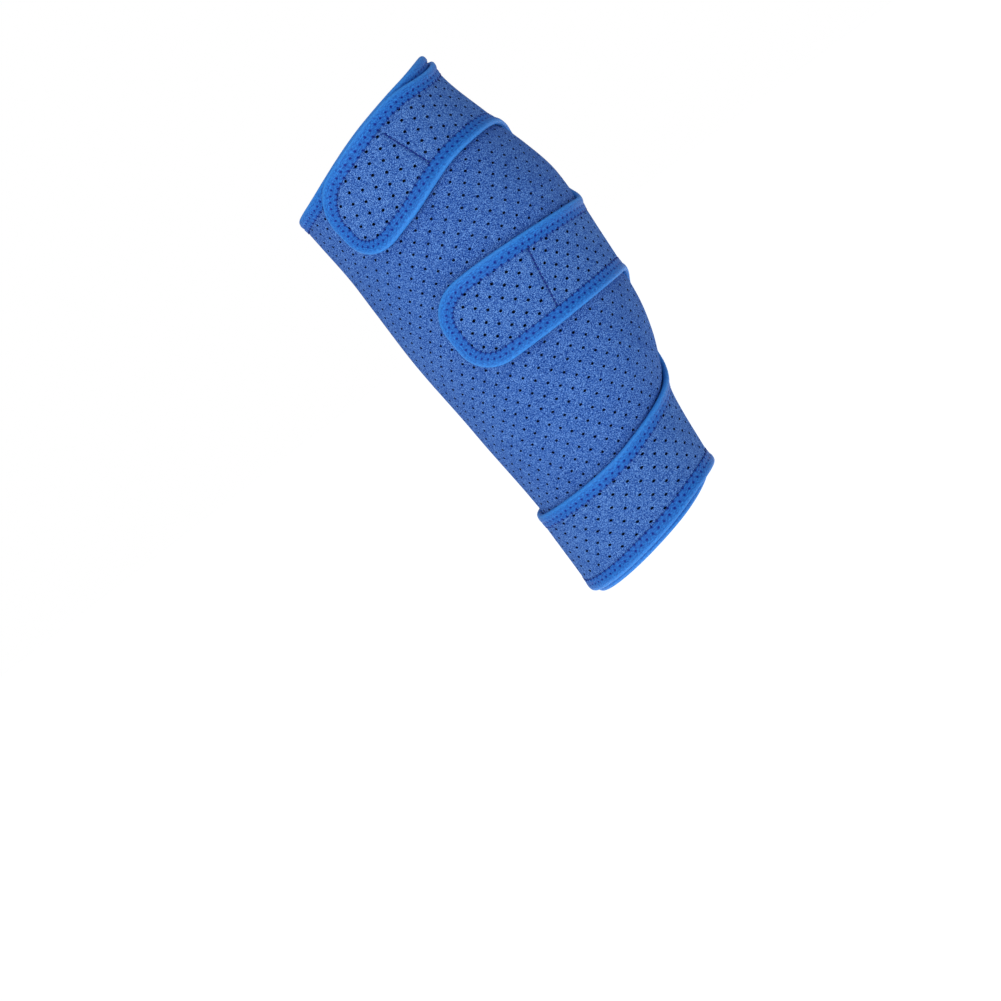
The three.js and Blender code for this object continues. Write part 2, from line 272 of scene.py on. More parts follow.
def panel_upper(turn):
    from_edge = (turn - first_edge) * panel_scale
    rim = rim_level(SLEEVE_HEIGHT, turn) - EDGE_TUCK - shin_drop(turn) + calf_rise_above(turn)
    return rim - corner_cut(from_edge, CORNER_RADIUS)


panel = Flat("wrap_panel", first_edge, SECOND_EDGE, SLEEVE_HEIGHT / 2, panel_lower, panel_upper)


def flat_strap(strap):
    def middle(turn):
        return along(strap, "angle", "middle", FIRST_EDGE_ANGLE + 360 - turn) * SLEEVE_HEIGHT

    def half(turn):
        width = along(strap, "angle", "width", FIRST_EDGE_ANGLE + 360 - turn) * STRAP_WIDTH
        return width / 2 - EDGE_TUCK

    root = SECOND_EDGE
    scale = float(mm_per_degree(middle(root)))
    tip = FIRST_EDGE_ANGLE + 360 - strap["tip_angle"] - EDGE_TUCK / scale
    to_bottom = panel_lower(root) - middle(root) + half(root)
    to_top = panel_upper(root) - middle(root) - half(root)
    down_shift = to_bottom if strap["meets"] == "bottom" else 0.0
    up_shift = to_top if strap["meets"] == "top" else 0.0

    def lower(turn):
        from_root = (turn - root) * scale
        return (middle(turn) - half(turn)
                + down_shift * (1 - smooth(from_root / strap["flare_run"]))
                - flare_out(from_root, strap["flare_run"], strap["flare_down"])
                + corner_cut((tip - turn) * scale, TONGUE_RADIUS))

    def upper(turn):
        from_root = (turn - root) * scale
        return (middle(turn) + half(turn)
                + up_shift * (1 - smooth(from_root / strap["flare_run"]))
                + flare_out(from_root, strap["flare_run"], strap["flare_up"])
                - corner_cut((tip - turn) * scale, TONGUE_RADIUS))

    strap["patch_turn"] = FIRST_EDGE_ANGLE + 360 - strap["patch_angle"]
    return Flat(strap["name"], root, tip, float(middle(root)), lower, upper, strap)


straps = [flat_strap(strap) for strap in STRAPS]
print("straps:", [f"{flat.name} {(flat.end - flat.start) * flat.scale:.0f} mm" for flat in straps])

# %% [markdown]
# ## Layers and billows
# The wrap lies on the leg for its first round. Then it climbs over its own first edge, and
# a strap's end climbs once more, over its hook patch. Between the straps the calf pushes
# the panel out a little, and that billow is added to the form of every layer at once.

# %% Height of each layer
def lift(turn, strap=None):
    """Height of a layer's inner face over the first round's, in millimetres."""
    climb = smooth((turn - 360 + LAP_CLIMB_START) / (LAP_CLIMB_START - LAP_CLIMB_END))
    if strap is None:
        return LAYER_LIFT * climb
    scale = panel_scale
    rise = smooth((turn - strap["patch_turn"]) * scale / HOOK_RISE_RUN + 1)
    return LAYER_LIFT * climb + (TONGUE_LIFT - LAYER_LIFT) * rise


EDGE_EASE = 12.0
BILLOW_START = -75.0
BILLOW_FULL = 60.0
BILLOW_FADE = 12.0


def billow(turn, level):
    """How far the wrap stands out between the straps, and is pressed in under them."""
    angle = (FIRST_EDGE_ANGLE - turn + 180) % 360 - 180
    held = np.zeros_like(angle + level)
    for flat in straps:
        second_turn = FIRST_EDGE_ANGLE + 360 - angle
        inside = np.clip(second_turn, flat.start, flat.end)
        over = smooth((level - flat.lower(inside)) / EDGE_EASE + 0.5)
        under = smooth((flat.upper(inside) - level) / EDGE_EASE + 0.5)
        reach = smooth((flat.end - second_turn) * flat.scale / EDGE_EASE)
        held = np.maximum(held, over * under * reach)
    lap_angle = FIRST_EDGE_ANGLE - LAP_ANGLE
    rise = smooth((angle - BILLOW_START) / (BILLOW_FULL - BILLOW_START))
    fall = 1 - smooth((angle - lap_angle + BILLOW_FADE) / BILLOW_FADE)
    return (BILLOW * (1 - held) - PRESS * held) * rise * fall


def on_leg(turn, level, height):
    """Lays points of the flat pattern round the leg."""
    turn = np.asarray(turn, float)
    level = np.asarray(level, float)
    raised = height + billow(turn, level)
    return leg_point(turn, level) + outward(turn, level) * raised[..., None]


# %% [markdown]
# ## Camera, floor and light
# The camera stands level with the leg's outer side, about a metre away, and is rolled so
# that the wrap leans across the picture. The background is white to the camera, but lights
# the wrap at two fifths of that strength, a little cooler. The floor glows, as a light
# table does. One large soft light stands on the shin's side, and a weaker one hangs high
# in front, for the top of the calf.

# %% Camera
PICTURE = 1001
SENSOR = 36.0
CAMERA_DISTANCE = 1000.0
CAMERA_DROP = 3.3
MM_PER_PIXEL = 0.575
LEG_LEAN = math.radians(36.77)
AXIS_PIXEL = (366.5, 138.5)
ORIGIN_ALONG_AXIS = 488.0
TARGET = Vector((5.0, 0.0, 144.0))

down_leg = Vector((math.sin(LEG_LEAN), math.cos(LEG_LEAN)))
to_calf = Vector((math.cos(LEG_LEAN), -math.sin(LEG_LEAN)))
target_pixel = (Vector(AXIS_PIXEL)
                + down_leg * (ORIGIN_ALONG_AXIS - TARGET.z / MM_PER_PIXEL)
                + to_calf * (TARGET.x / MM_PER_PIXEL))
drop = math.radians(CAMERA_DROP)
look = Vector((0, math.cos(drop), -math.sin(drop)))
up = Vector((math.sin(LEG_LEAN), 0, math.cos(LEG_LEAN)))
up = (up - up.dot(look) * look).normalized()
right = look.cross(up)
focal_pixels = CAMERA_DISTANCE / MM_PER_PIXEL
yaw = math.atan2(target_pixel.x - PICTURE / 2, focal_pixels)
pitch = math.atan2(PICTURE / 2 - target_pixel.y, focal_pixels)
ahead = look * math.cos(pitch) - up * math.sin(pitch)
top = up * math.cos(pitch) + look * math.sin(pitch)
sight = ahead * math.cos(yaw) - right * math.sin(yaw)
side = right * math.cos(yaw) + ahead * math.sin(yaw)
focal_pixels *= math.cos(pitch) * math.cos(yaw)

camera_data = bpy.data.cameras.new("camera")
camera = bpy.data.objects.new("camera", camera_data)
bpy.context.collection.objects.link(camera)
camera_data.sensor_width = SENSOR
camera_data.lens = focal_pixels * SENSOR / PICTURE
camera_place = (TARGET - look * CAMERA_DISTANCE) * MM
turned = Matrix((side, top, -sight)).transposed().to_4x4()
camera.matrix_world = Matrix.Translation(camera_place) @ turned
bpy.context.scene.camera = camera
bpy.context.scene.view_settings.view_transform = "Standard"
print(f"lens {camera_data.lens:.1f} mm")


# %% [markdown]
# ## Helpers for materials and node trees
# Colours are written as sRGB hex values, as on a screen, and one function turns them to
# the linear numbers that Blender works with. One more adds a node with its settings and
# its links, so that a tree reads from top to bottom.

# %% Colours and nodes
def srgb(text):
    """A hex colour as the linear numbers that Blender's sockets take."""
    parts = [int(text[i:i + 2], 16) / 255 for i in (0, 2, 4)]
    linear = [p / 12.92 if p <= 0.04045 else ((p + 0.055) / 1.055) ** 2.4 for p in parts]
    return (*linear, 1.0)


def add_node(tree, kind, inputs=None, **settings):
    """Adds a node. Settings are its own properties; inputs are values or sockets by name."""
    node = tree.nodes.new(kind)
    for name, value in settings.items():
        setattr(node, name, value)
    for name, value in (inputs or {}).items():
        socket = node.inputs[name]
        if isinstance(value, bpy.types.NodeSocket):
            tree.links.new(value, socket)
        else:
            socket.default_value = value
    return node


def new_material(name, roughness, specular):
    """A material, its node tree and its shader."""
    material = bpy.data.materials.new(name)
    material.use_nodes = True
    shader = material.node_tree.nodes["Principled BSDF"]
    shader.inputs["Roughness"].default_value = roughness
    shader.inputs["Specular IOR Level"].default_value = specular
    return material, material.node_tree, shader


# %% Floor, world and lights
FLOOR_DROP = 0.30
FLOOR_RADIUS = 12.0
FLOOR_SIDES = 64
FLOOR_GLOW = 0.72
AMBIENT = 0.40
WHITE = srgb("ffffff")
COOL_WHITE = srgb("e8f2ff")
LIGHTS_AIM = Vector((0, 0, 0.15))

floor_mesh = bpy.data.meshes.new("floor")
floor_angles = [2 * math.pi * side / FLOOR_SIDES for side in range(FLOOR_SIDES)]
floor_corners = [
    (FLOOR_RADIUS * math.cos(angle), FLOOR_RADIUS * math.sin(angle), -FLOOR_DROP)
    for angle in floor_angles
]
floor_mesh.from_pydata(floor_corners, [], [list(range(FLOOR_SIDES))])
floor = bpy.data.objects.new("floor", floor_mesh)
bpy.context.collection.objects.link(floor)

paper, _, paper_shader = new_material("lit_studio_paper", 0.9, 0.5)
paper_shader.inputs["Base Color"].default_value = srgb("f4f6f8")
paper_shader.inputs["Emission Color"].default_value = WHITE
paper_shader.inputs["Emission Strength"].default_value = FLOOR_GLOW
floor_mesh.materials.append(paper)

world = bpy.data.worlds.new("studio")
bpy.context.scene.world = world
world.use_nodes = True
sky = world.node_tree
backdrop = add_node(sky, "ShaderNodeBackground", {"Color": WHITE, "Strength": 1.0})
surroundings = sky.nodes["Background"]
surroundings.inputs["Color"].default_value = COOL_WHITE
surroundings.inputs["Strength"].default_value = AMBIENT
seen = add_node(sky, "ShaderNodeLightPath").outputs["Is Camera Ray"]
both = add_node(sky, "ShaderNodeMixShader", {
    0: seen, 1: surroundings.outputs["Background"], 2: backdrop.outputs["Background"]})
sky.links.new(both.outputs["Shader"], sky.nodes["World Output"].inputs["Surface"])

LIGHTS = [
    # name, place in metres, size in metres, watts
    ("key", (-0.85, -1.35, 0.40), 0.9, 8.8),
    ("top", (0.05, -0.95, 1.3), 0.8, 4.8),
]
for name, place, size, watts in LIGHTS:
    light_data = bpy.data.lights.new(name, "AREA")
    light_data.size = size
    light_data.energy = watts
    light = bpy.data.objects.new(name, light_data)
    bpy.context.collection.objects.link(light)
    light.location = place
    toward = LIGHTS_AIM - Vector(place)
    light.rotation_euler = toward.to_track_quat("-Z", "Y").to_euler()
print("lights:", [name for name, *_ in LIGHTS])

# %% [markdown]
# ## Materials
# The face is a brushed loop pile, knitted from filament that took the dye unevenly, so it
# looks heathered: short light and dark flecks about half a millimetre long. Light scatters
# in the loops, which is a high roughness and a trace of sheen. The pattern is three
# dimensional noise, because pile has no direction that would have to follow the surface.

# %% Brushed loop pile
METRE_IN_MM = 1000.0
FLECK = 0.5
LOOP = 0.85
CLOUD = 14.0
CLOUD_SHARE = 0.03
LOOP_SHARE = -0.6


def fleck_scale(size_mm):
    """Noise scale for features of this size, on coordinates in metres."""
    return METRE_IN_MM / size_mm


def loop_pile(name, dark, middle_tone, light_tone):
    material, tree, shader = new_material(name, roughness=0.92, specular=0.15)
    place = add_node(tree, "ShaderNodeTexCoord").outputs["Object"]
    fleck = add_node(tree, "ShaderNodeTexNoise", {
        "Vector": place, "Scale": fleck_scale(FLECK), "Detail": 2.0, "Roughness": 0.7,
        "Distortion": 0.4})
    cloud = add_node(tree, "ShaderNodeTexNoise", {
        "Vector": place, "Scale": fleck_scale(CLOUD), "Detail": 2.0, "Roughness": 0.5})
    loop = add_node(tree, "ShaderNodeTexVoronoi", {
        "Vector": place, "Scale": fleck_scale(LOOP), "Randomness": 1.0}, feature="F1")
    mixed = add_node(tree, "ShaderNodeMath", {
        0: cloud.outputs["Fac"], 1: CLOUD_SHARE, 2: fleck.outputs["Fac"]},
        operation="MULTIPLY_ADD")
    tones = add_node(tree, "ShaderNodeValToRGB", {"Fac": mixed.outputs[0]})
    ramp = tones.color_ramp
    ramp.elements[0].position = 0.415
    ramp.elements[0].color = srgb(dark)
    ramp.elements[1].position = 0.615
    ramp.elements[1].color = srgb(light_tone)
    middle_stop = ramp.elements.new(0.515)
    middle_stop.color = srgb(middle_tone)
    tree.links.new(tones.outputs["Color"], shader.inputs["Base Color"])
    relief = add_node(tree, "ShaderNodeMath", {
        0: loop.outputs["Distance"], 1: LOOP_SHARE, 2: fleck.outputs["Fac"]},
        operation="MULTIPLY_ADD")
    bump = add_node(tree, "ShaderNodeBump", {
        "Height": relief.outputs[0], "Strength": 0.55, "Distance": 0.0005})
    tree.links.new(bump.outputs["Normal"], shader.inputs["Normal"])
    shader.inputs["Sheen Weight"].default_value = 0.06
    shader.inputs["Sheen Roughness"].default_value = 0.6
    shader.inputs["Sheen Tint"].default_value = srgb("5a96f0")
    return material


panel_pile = loop_pile("brushed_loop_pile_panel", "0a2a74", "1f52a2", "6a96d6")
strap_pile = loop_pile("brushed_loop_pile_strap", "0e307a", "2357a6", "6e9ad8")

# %% [markdown]
# The inside is a plain jersey knit, smoother than the pile, and the core is dark foam. The
# foam shows only in the walls of the perforations, where little light gets in. The hook
# tape is moulded nylon, a little glossier, with a grain for its hundreds of tiny hooks.

# %% Jersey, foam and hook tape
def plain_cloth(name, dark, light, size_mm, roughness):
    material, tree, shader = new_material(name, roughness, specular=0.3)
    place = add_node(tree, "ShaderNodeTexCoord").outputs["Object"]
    grain = add_node(tree, "ShaderNodeTexNoise", {
        "Vector": place, "Scale": fleck_scale(size_mm), "Detail": 3.0, "Roughness": 0.6})
    tones = add_node(tree, "ShaderNodeValToRGB", {"Fac": grain.outputs["Fac"]})
    tones.color_ramp.elements[0].position = 0.35
    tones.color_ramp.elements[0].color = srgb(dark)
    tones.color_ramp.elements[1].position = 0.7
    tones.color_ramp.elements[1].color = srgb(light)
    tree.links.new(tones.outputs["Color"], shader.inputs["Base Color"])
    bump = add_node(tree, "ShaderNodeBump", {
        "Height": grain.outputs["Fac"], "Strength": 0.4, "Distance": 0.0002})
    tree.links.new(bump.outputs["Normal"], shader.inputs["Normal"])
    return material


jersey = plain_cloth("jersey_lining", "1b2f5c", "27407a", 0.7, 0.8)
foam = plain_cloth("neoprene_foam", "081238", "0e1c50", 0.5, 0.95)
hook = plain_cloth("moulded_hook_tape", "14294f", "1d3866", 0.9, 0.55)

# %% [markdown]
# The binding is a knitted polyester tape, brighter and smoother than the pile. Its pattern
# reads its own UV map, where U is the way along the tape and V the way in from the fold,
# both in millimetres. Fine ribs run along it. The needle left two rows of holes, half a
# pitch apart, and painted shade darkens them. A painted shadow runs along the tape's inner
# edge. Between the rows the tape is pressed flat and lower, with a little painted shade, and
# along the fold a painted highlight makes it a little paler.

# %% Tape and thread
TAPE_RIB = 0.62
RIB_SHARE = 0.35
GRAIN_STRETCH = 0.45
GRAIN_SCALE = 1.6
NEEDLE_CORE = 0.4
NEEDLE_REACH = 1.05
EDGE_ROW = TAPE_WIDTH - 0.35
# where a painted shade comes in, in millimetres from the fold, and how dark it gets: the
# painted shadow along the tape's inner edge, then the painted shade of the pressed band
SHADES = [
    (TAPE_WIDTH - 0.7, TAPE_WIDTH - 0.1, 0.6),
    (FOLD_ROW - 0.7, FOLD_ROW, 0.2),
]
# a painted highlight along the fold: its strength, and where it starts and ends
FOLD_HIGHLIGHT = 0.35
HIGHLIGHT_START = FOLD_CENTRE - 0.8
HIGHLIGHT_END = FOLD_CENTRE + 0.7


def needle_hole_shade(tree, split, row, shift):
    """Painted shade of one row of needle holes, from their centres outward."""
    moved = add_node(tree, "ShaderNodeMath", {
        0: split.outputs["X"], 1: shift}, operation="ADD")
    offset = add_node(tree, "ShaderNodeMath", {
        0: moved.outputs[0], 1: STITCH_PITCH / 2, 2: -STITCH_PITCH / 2}, operation="WRAP")
    away = add_node(tree, "ShaderNodeMath", {
        0: split.outputs["Y"], 1: row}, operation="SUBTRACT")
    gap = add_node(tree, "ShaderNodeCombineXYZ", {
        "X": offset.outputs[0], "Y": away.outputs[0]})
    distance = add_node(tree, "ShaderNodeVectorMath", {
        0: gap.outputs["Vector"]}, operation="LENGTH")
    return add_node(tree, "ShaderNodeMapRange", {
        "Value": distance.outputs["Value"], "From Min": NEEDLE_CORE, "From Max": NEEDLE_REACH,
        "To Min": 1.0, "To Max": 0.0}, interpolation_type="SMOOTHSTEP").outputs["Result"]


def binding_tape():
    material, tree, shader = new_material("satin_binding_tape", roughness=0.5, specular=0.2)
    uv = add_node(tree, "ShaderNodeUVMap", uv_map="pattern").outputs["UV"]
    split = add_node(tree, "ShaderNodeSeparateXYZ", {"Vector": uv})
    across = add_node(tree, "ShaderNodeMath", {
        0: split.outputs["Y"], 1: 2 * math.pi / TAPE_RIB}, operation="MULTIPLY")
    rib = add_node(tree, "ShaderNodeMath", {0: across.outputs[0]}, operation="SINE")
    stretched = add_node(tree, "ShaderNodeCombineXYZ", {
        "X": add_node(tree, "ShaderNodeMath", {
            0: split.outputs["X"], 1: GRAIN_STRETCH}, operation="MULTIPLY").outputs[0],
        "Y": split.outputs["Y"]})
    grain = add_node(tree, "ShaderNodeTexNoise", {
        "Vector": stretched.outputs["Vector"], "Scale": GRAIN_SCALE, "Detail": 3.0,
        "Roughness": 0.7})
    tones = add_node(tree, "ShaderNodeValToRGB", {"Fac": grain.outputs["Fac"]})
    tones.color_ramp.elements[0].position = 0.34
    tones.color_ramp.elements[0].color = srgb("063a92")
    tones.color_ramp.elements[1].position = 0.7
    tones.color_ramp.elements[1].color = srgb("2c8ae2")
    from_fold = split.outputs["Y"]
    # painted shade: the needle holes, a painted shadow along the inner edge, and the pressed band
    darks = [
        needle_hole_shade(tree, split, EDGE_ROW, 0.0),
        needle_hole_shade(tree, split, FOLD_ROW, STITCH_PITCH / 2),
    ]
    for start, end, darkness in SHADES:
        darks.append(add_node(tree, "ShaderNodeMapRange", {
            "Value": from_fold, "From Min": start, "From Max": end,
            "To Min": 0.0, "To Max": darkness}).outputs["Result"])
    dark = darks[0]
    for other in darks[1:]:
        dark = add_node(tree, "ShaderNodeMath", {
            0: dark, 1: other}, operation="MAXIMUM").outputs[0]
    # painted highlight: paler along the fold, where the tape's bend catches the light
    highlight_share = add_node(tree, "ShaderNodeMapRange", {
        "Value": from_fold, "From Min": HIGHLIGHT_START, "From Max": HIGHLIGHT_END,
        "To Min": FOLD_HIGHLIGHT, "To Max": 0.0})
    highlighted = add_node(tree, "ShaderNodeMix", data_type="RGBA")
    tree.links.new(highlight_share.outputs["Result"], highlighted.inputs[0])
    tree.links.new(tones.outputs["Color"], highlighted.inputs[6])
    highlighted.inputs[7].default_value = srgb("4ca6fa")
    # the colour of the painted shade
    shaded = add_node(tree, "ShaderNodeMix", data_type="RGBA")
    tree.links.new(dark, shaded.inputs[0])
    tree.links.new(highlighted.outputs[2], shaded.inputs[6])
    shaded.inputs[7].default_value = srgb("02288a")
    tree.links.new(shaded.outputs[2], shader.inputs["Base Color"])
    relief = add_node(tree, "ShaderNodeMath", {
        0: rib.outputs[0], 1: RIB_SHARE, 2: grain.outputs["Fac"]},
        operation="MULTIPLY_ADD")
    bump = add_node(tree, "ShaderNodeBump", {
        "Height": relief.outputs[0], "Strength": 0.45, "Distance": 0.0003})
    tree.links.new(bump.outputs["Normal"], shader.inputs["Normal"])
    return material


def spun_thread(name, colour):
    """A thread's twist is too fine to show, so it has its dye and its gloss alone."""
    material, _, shader = new_material(name, roughness=0.5, specular=0.2)
    shader.inputs["Base Color"].default_value = srgb(colour)
    return material


tape_cloth = binding_tape()
thread = spun_thread("polyester_thread", "042a84")
seam_thread = spun_thread("navy_thread", "04247c")
print("materials:", [material.name for material in bpy.data.materials])

# %% [markdown]
# ## The route of the binding
# One tape goes round everything: along the bottom rim, out round each strap, down each
# notch between straps, back along the top rim and down the first edge. The route is a
# list of turns and levels, spaced evenly so that a stitch pitch is six of its points.

# %% The outline
STEPS_PER_PITCH = 6
CORNER_STEPS = 14
TURN_SPACING = 0.5


def corner_turns(radius, scale):
    """Distances in degrees from an end, dense where a quarter circle leaves it."""
    bends = np.linspace(0, math.pi / 2, CORNER_STEPS)
    return radius * (1 - np.cos(bends)) / scale


def edge_turns(flat):
    """Turns along a strap, dense at its round tip and at the bend of its root."""
    root = flat.start + corner_turns(flat.strap["flare_run"], flat.scale)
    tip = flat.end - corner_turns(TONGUE_RADIUS, flat.scale)
    between = np.arange(root[-1], tip[-1], TURN_SPACING)
    return np.concatenate([root, between[1:], tip[::-1]])


panel_corner = first_edge + corner_turns(CORNER_RADIUS, panel_scale)
panel_turns = np.concatenate([
    panel_corner,
    np.arange(panel_corner[-1], SECOND_EDGE, TURN_SPACING)[1:],
    [SECOND_EDGE],
])
route = [np.stack([panel_turns, panel.lower(panel_turns)], -1)]
for flat in straps:
    turns = edge_turns(flat)
    route.append(np.stack([turns, flat.lower(turns)], -1))
    route.append(np.stack([turns, flat.upper(turns)], -1)[::-1])
route.append(np.stack([panel_turns, panel.upper(panel_turns)], -1)[::-1])
route = np.concatenate(route)
route = np.concatenate([route, route[:1]])

steps = np.diff(route, axis=0)
steps[:, 0] *= mm_per_degree((route[1:, 1] + route[:-1, 1]) / 2)
lengths = np.hypot(steps[:, 0], steps[:, 1])
travelled = np.concatenate([[0], np.cumsum(lengths)])
tape_length = travelled[-1]
pitches = round(tape_length / STITCH_PITCH)
ring_count = pitches * STEPS_PER_PITCH
ring_place = np.arange(ring_count) * tape_length / ring_count
edge_turn = np.interp(ring_place, travelled, route[:, 0])
edge_level = np.interp(ring_place, travelled, route[:, 1])
print(f"binding tape: {tape_length:.0f} mm long, {pitches} stitch pitches")


def around(values, ahead):
    """The same values, each from so many points further on round the closed route."""
    return np.roll(values, -ahead)


SMOOTHING = 2
EDGE_REACH = 1.0
way_x = (around(edge_turn, SMOOTHING) - around(edge_turn, -SMOOTHING)) * mm_per_degree(edge_level)
way_y = around(edge_level, SMOOTHING) - around(edge_level, -SMOOTHING)
way = np.hypot(way_x, way_y)
inward_turn = -way_y / way / mm_per_degree(edge_level)
inward_level = way_x / way

# which strap a point of the outline belongs to: its tongue may climb over a hook patch
edge_strap = np.full(ring_count, -1)
for number, flat in enumerate(straps):
    on_flat = np.clip(edge_turn, flat.start, flat.end)
    above = edge_level >= flat.lower(on_flat) - EDGE_REACH
    below = edge_level <= flat.upper(on_flat) + EDGE_REACH
    edge_strap[(edge_turn >= SECOND_EDGE) & above & below] = number


def layer_lift(turn, strap_number):
    """Height of the layer that a point belongs to, for arrays of points."""
    height = lift(turn)
    for number, flat in enumerate(straps):
        height = np.where(strap_number == number, lift(turn, flat.strap), height)
    return height

# %% [markdown]
# ## The neoprene sheets
# The panel and each strap are a closed shell: an outer face, an inner face, and walls
# between. Under the tape the foam is pinched thin, and beside the tape it swells to its
# full thickness, so each point asks how far it is from the outline.

# %% Grids
GRID = 3.0
NEAR_EDGE = np.array([0.0, 3.3, 6.4, 7.6, 9.0])
NEAR_SHARE = 0.42
ROWS_NEAR_EDGES = 4
OUTLINE_SKIP = 2
CORNER_SKIP = 2
ROOT_SKIP = 3
ROOT_SHARE = 3
OUTER, INNER, WALL = 0, 1, 2
PINCH_START = 6.0
PINCH_RUN = 2.8
CHUNK = 1500


def distance_to_outline(turn, level):
    """How far points of the flat pattern are from the nearest point of the tape's route."""
    result = np.empty(len(turn))
    scale = mm_per_degree(level)
    for i in range(0, len(turn), CHUNK):
        part = slice(i, i + CHUNK)
        gap_x = (turn[part, None] - edge_turn[None, ::OUTLINE_SKIP]) * scale[part, None]
        gap_y = level[part, None] - edge_level[None, ::OUTLINE_SKIP]
        result[part] = np.sqrt((gap_x * gap_x + gap_y * gap_y).min(axis=1))
    return result


def grid_turns(flat):
    """Turns of a sheet's columns, closer together at its round corners."""
    if flat.strap is None:
        start = flat.start + corner_turns(CORNER_RADIUS, flat.scale)[::CORNER_SKIP]
        between = max(2, round((flat.end - start[-1]) * flat.scale / GRID))
        return np.concatenate([start, np.linspace(start[-1], flat.end, between + 1)[1:]])
    tip = flat.end - corner_turns(TONGUE_RADIUS, flat.scale)[::CORNER_SKIP]
    root_run = flat.strap["flare_run"] / ROOT_SHARE
    root = flat.start + corner_turns(root_run, flat.scale)[::ROOT_SKIP]
    between = max(2, round((tip[-1] - root[-1]) * flat.scale / GRID))
    inside = np.linspace(root[-1], tip[-1], between + 1)[1:-1]
    return np.concatenate([root, inside, tip[::-1]])


def grid_levels(low, high, rows):
    """Levels from one edge to the other: close together near the edges, even between."""
    width = high - low
    near = NEAR_EDGE[None, :] * np.minimum(1.0, NEAR_SHARE * width / NEAR_EDGE[-1])[:, None]
    share = np.linspace(0, 1, rows + 1)[None, 1:-1]
    inner_low = low + near[:, -1]
    inner_high = high - near[:, -1]
    middle = inner_low[:, None] + share * (inner_high - inner_low)[:, None]
    last = (high[:, None] - near)[:, ::-1]
    return np.concatenate([low[:, None] + near, middle, last], axis=1)


def shell_faces(columns, rows):
    """Faces of a closed shell over two grids of points, the outer grid first."""
    grid = np.arange(columns * rows).reshape(columns, rows)
    a = grid[:-1, :-1].ravel()
    b = grid[1:, :-1].ravel()
    c = grid[1:, 1:].ravel()
    d = grid[:-1, 1:].ravel()
    outer = np.stack([d, c, b, a], -1)
    inner = np.stack([a, b, c, d], -1) + columns * rows
    rim = np.concatenate([grid[:-1, 0], grid[-1, :-1], grid[:0:-1, -1], grid[0, :0:-1]])
    after = np.roll(rim, -1)
    walls = np.stack([after, after + columns * rows, rim + columns * rows, rim], -1)
    faces = np.concatenate([outer, inner, walls])
    materials = np.repeat([OUTER, INNER, WALL], [len(outer), len(inner), len(walls)])
    return faces, materials


def new_object(name, points, faces, materials, slots):
    """An object from points in millimetres, at the origin, with smooth faces."""
    mesh = bpy.data.meshes.new(name)
    mesh.from_pydata((points * MM).tolist(), [], faces.tolist())
    for slot in slots:
        mesh.materials.append(slot)
    mesh.polygons.foreach_set("material_index", np.asarray(materials, np.int32))
    mesh.shade_smooth()
    mesh.update()
    item = bpy.data.objects.new(name, mesh)
    bpy.context.collection.objects.link(item)
    return item


# %% [markdown]
# Two straps have a straight seam across them, where the hook tape is sewn on. It draws a
# shallow groove, a dip in the outer face, and leans a little to the strap's direction.
# Columns of points close together, along the seam, give the groove its shape.

# %% Panel and straps
GROOVE_DEPTH = 0.9
GROOVE_HALF_WIDTH = 1.5
SEWN_STRAPS = ("middle_strap", "top_strap")
SEAM_COLUMN = 0.8
SEAM_COLUMNS = 13
SEAM_CLEAR = 1.2


def seam_turn(flat, level):
    """The turn at which the seam across a strap passes a level."""
    usual = FIRST_EDGE_ANGLE + 360 - flat.strap["seam_angle"]
    return usual + (level - flat.level) * flat.strap["seam_slant"] / flat.scale


def from_seam(flat, turn, level):
    """Distance from the seam across a strap, in millimetres."""
    if flat.name not in SEWN_STRAPS:
        return np.full_like(turn, STRAP_WIDTH)
    return np.abs(turn - seam_turn(flat, level)) * flat.scale


def groove(flat, turn, level):
    """How deep the seam is pressed into the outer face."""
    return GROOVE_DEPTH * (1 - smooth(from_seam(flat, turn, level) / GROOVE_HALF_WIDTH))


def sheet_object(flat, pile):
    """A closed shell of neoprene between the two edges of a flat piece."""
    turns = grid_turns(flat)
    if flat.name in SEWN_STRAPS:
        columns_off = (np.arange(SEAM_COLUMNS) - SEAM_COLUMNS // 2) * SEAM_COLUMN
        line = seam_turn(flat, flat.level) + columns_off / flat.scale
        keep = from_seam(flat, turns, flat.level) > columns_off[-1] + SEAM_CLEAR
        turns = np.sort(np.concatenate([turns[keep], line]))
    low = flat.lower(turns)
    high = flat.upper(turns)
    usual_width = SLEEVE_HEIGHT if flat.strap is None else STRAP_WIDTH
    rows = max(2, round(usual_width / GRID - ROWS_NEAR_EDGES))
    level = grid_levels(low, high, rows)
    turn = np.repeat(turns[:, None], level.shape[1], axis=1)
    columns, count = level.shape
    turn = turn.ravel()
    level = level.ravel()
    away = distance_to_outline(turn, level)
    wall = PINCHED_WALL + (NEOPRENE - PINCHED_WALL) * smooth((away - PINCH_START) / PINCH_RUN)
    middle = lift(turn, flat.strap) + NEOPRENE / 2
    outer = on_leg(turn, level, middle + wall / 2 - groove(flat, turn, level))
    inner = on_leg(turn, level, middle - wall / 2)
    faces, materials = shell_faces(columns, count)
    return new_object(flat.name + "_cloth", np.concatenate([outer, inner]), faces, materials,
                      [pile, jersey, foam])


sheets = [(panel, sheet_object(panel, panel_pile))]
for flat in straps:
    sheets.append((flat, sheet_object(flat, strap_pile)))
for flat, item in sheets:
    print(f"{flat.name}: {len(item.data.vertices)} points")

# %% [markdown]
# ## The perforations
# The holes stand on a square lattice that was punched before the pieces were cut, at a
# slant that differs from piece to piece. Stretched round the leg, each hole is a little
# wider round the leg than along it. The lattice's points carry two directions, and a
# Geometry Nodes tree sets a short punch on each and cuts the punches out of the sheet. The
# punches' faces are marked first, and the cut keeps the mark, so the tree can find the
# walls of the holes and give them the foam's material.

